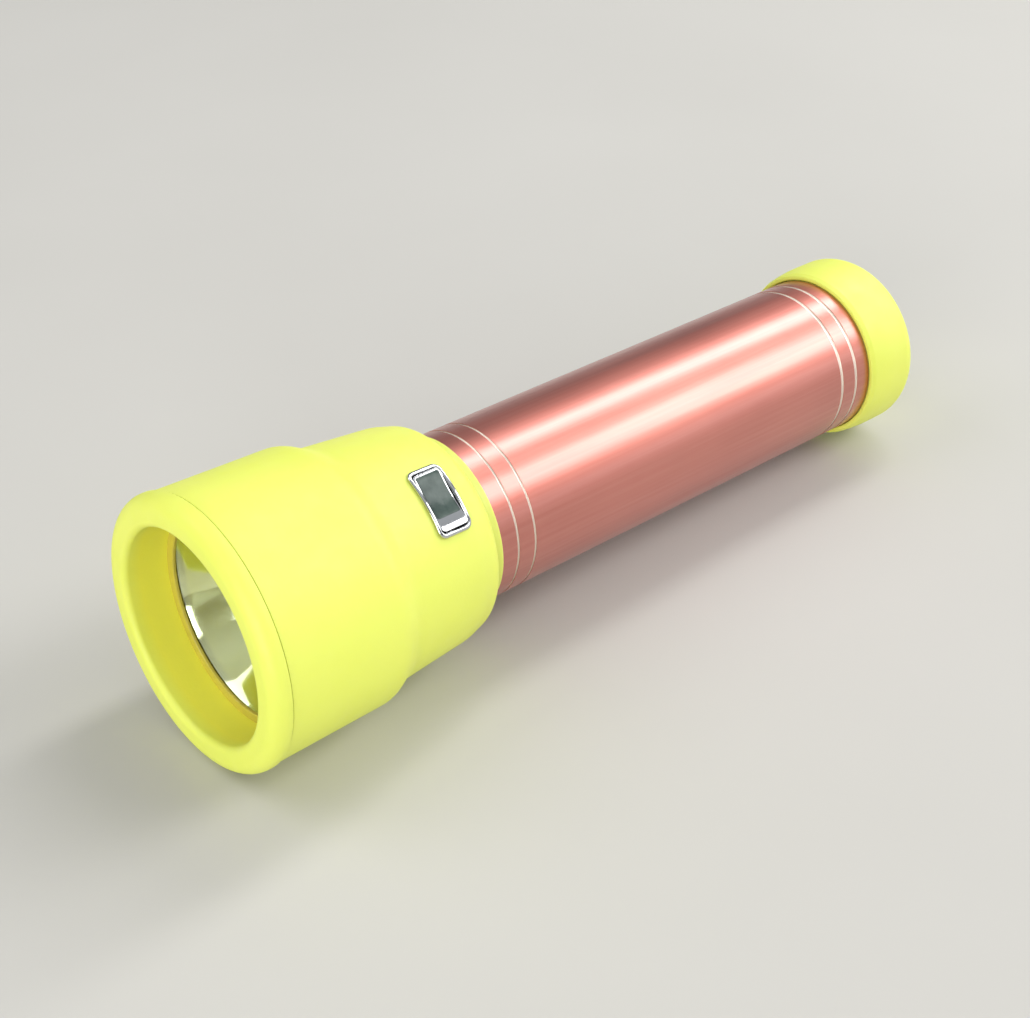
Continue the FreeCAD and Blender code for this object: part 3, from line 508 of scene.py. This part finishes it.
def reflector():
    """Smooth parabolic bowl with a rolled mouth and a flat flange, turned about the axis."""
    inverse = LOCAL.inverted()
    points = [inverse @ vertex.co for vertex in frame["nodes"]["reflector"].data.vertices]
    front = min(point.x for point in points)
    rear = max(point.x for point in points) - BOWL_WALL
    rim = max(math.hypot(point.y, point.z) for point in points)
    bend = (rear - front) / (BOWL_MOUTH ** 2 - BOWL_THROAT ** 2)
    steps, around = 40, 128
    lip = 3
    inside = []
    for step in range(steps + 1):
        radius = BOWL_THROAT + (BOWL_MOUTH - BOWL_THROAT) * step / steps
        inside.append((rear - bend * (radius ** 2 - BOWL_THROAT ** 2), radius))
    outside = []
    for x, radius in inside[:-lip]:
        slope = 2 * bend * radius
        length = math.hypot(1.0, slope)
        outside.append((x + BOWL_WALL / length, radius + BOWL_WALL * slope / length))
    soft = 0.12 * MM
    flange = [(front + 0.3 * soft, BOWL_MOUTH + soft), (front, BOWL_MOUTH + 3 * soft),
              (front, rim - soft), (front + soft, rim), (front + BOWL_FLANGE, rim),
              (front + BOWL_FLANGE, BOWL_MOUTH + BOWL_WALL)]
    profile = inside[:-1] + flange + outside[::-1]
    loops = []
    for x, radius in profile:
        ring = []
        for i in range(around):
            angle = 2 * math.pi * i / around
            ring.append((x, radius * math.cos(angle), radius * math.sin(angle)))
        loops.append(ring)
    loops_to_piece("reflector_bowl", loops, True, "mirror_bowl", "flashlight", "reflector", LOCAL)


reflector()


# ------------------------------------------------------------------ floor, light and camera

AXIS_HEIGHT = 28 * MM


def floor():
    """Plain, flat, pale floor that reaches far past the flashlight on every side."""
    mesh = bpy.data.meshes.new("floor")
    shape = bmesh.new()
    half_side = 15.0
    shape.faces.new([shape.verts.new((x * half_side, y * half_side, 0)) for x, y in
                     ((-1, -1), (1, -1), (1, 1), (-1, 1))])
    shape.to_mesh(mesh)
    shape.free()
    plane = bpy.data.objects.new("floor", mesh)
    bpy.context.collection.objects.link(plane)
    s = Shader("floor_paint")
    s.set(Base_Color=s.mix(s.noise(9, 3), colour(0.53, 0.515, 0.48), colour(0.57, 0.555, 0.52)),
          Roughness=0.7)
    s.surface.inputs["Specular IOR Level"].default_value = 0.12
    mesh.materials.append(s.material)


def softbox(name, along, angle, distance, size, radiance):
    """A rectangular lamp whose long side runs the flashlight's way, aimed at its middle.

    along is its place along X, angle its lean in degrees from straight up towards the viewer's
    side, and radiance the brightness of its face."""
    length, width = size
    lamp = bpy.data.lights.new(name, "AREA")
    lamp.shape = "RECTANGLE"
    lamp.size, lamp.size_y = length, width
    lamp.energy = radiance * math.pi * length * width
    holder = bpy.data.objects.new(name, lamp)
    lean = math.radians(angle)
    target = Vector((0, 0, AXIS_HEIGHT))
    spot = target + Vector((along, -math.sin(lean) * distance, math.cos(lean) * distance))
    back = (spot - target).normalized()
    side = (Vector((1, 0, 0)) - back * back.x).normalized()
    turn = Matrix((side, back.cross(side), back)).transposed().to_4x4()
    holder.matrix_world = Matrix.Translation(spot) @ turn
    bpy.context.collection.objects.link(holder)


def camera():
    """Camera at the viewing angle of the reference view, fitted in the flashlight's own space."""
    place = Vector((-142.68, -246.25, 221.4)) * MM
    right = Vector((0.75191, -0.65850, 0.03172))
    down = Vector((-0.35044, -0.43999, -0.82681))
    forward = Vector((0.55841, 0.61056, -0.56159))
    turn = Matrix((right, -down, -forward)).transposed().to_4x4()
    data = bpy.data.cameras.new("camera")
    data.sensor_width = 36
    data.lens = 65.68
    data.clip_start = 0.01
    data.clip_end = 20
    holder = bpy.data.objects.new("camera", data)
    holder.matrix_world = LOCAL @ Matrix.Translation(place) @ turn
    bpy.context.collection.objects.link(holder)
    bpy.context.scene.camera = holder


def world():
    """Pale surroundings with a quieter belt above the horizon, which gives metal its contrast."""
    sky = bpy.data.worlds.new("studio")
    sky.use_nodes = True
    tree = sky.node_tree
    back = tree.nodes["Background"]
    coords = tree.nodes.new("ShaderNodeTexCoord")
    split = tree.nodes.new("ShaderNodeSeparateXYZ")
    ramp = tree.nodes.new("ShaderNodeValToRGB")
    tree.links.new(coords.outputs["Generated"], split.inputs[0])
    tree.links.new(split.outputs["Z"], ramp.inputs["Fac"])
    tree.links.new(ramp.outputs["Color"], back.inputs["Color"])
    stops = ramp.color_ramp.elements
    stops[0].position = 0.0
    stops[0].color = colour(0.35, 0.35, 0.345)
    stops[1].position = 0.85
    stops[1].color = colour(0.60, 0.62, 0.64)
    for height, level in ((0.08, 0.36), (0.26, 0.17), (0.46, 0.20)):
        stops.new(height).color = colour(0.97 * level, 0.99 * level, level)
    bpy.context.scene.world = sky


floor()
world()
# Name, place along X, lean, distance, length and width, radiance, in metres and degrees.
softbox("overhead_strip", 0.95, -11, 1.0, (1.3, 0.28), 7.4)
softbox("viewer_side_panel", 0.95, 39, 1.0, (1.3, 0.50), 5.2)
softbox("low_front_panel", 0.95, 76, 1.0, (1.3, 0.3), 1.2)
softbox("front_fill", -0.85, 62, 0.55, (0.7, 0.5), 5.6)
softbox("back_key", -0.55, -32, 0.9, (0.6, 0.6), 2.2)
camera()
bpy.context.scene.view_settings.view_transform = "Standard"
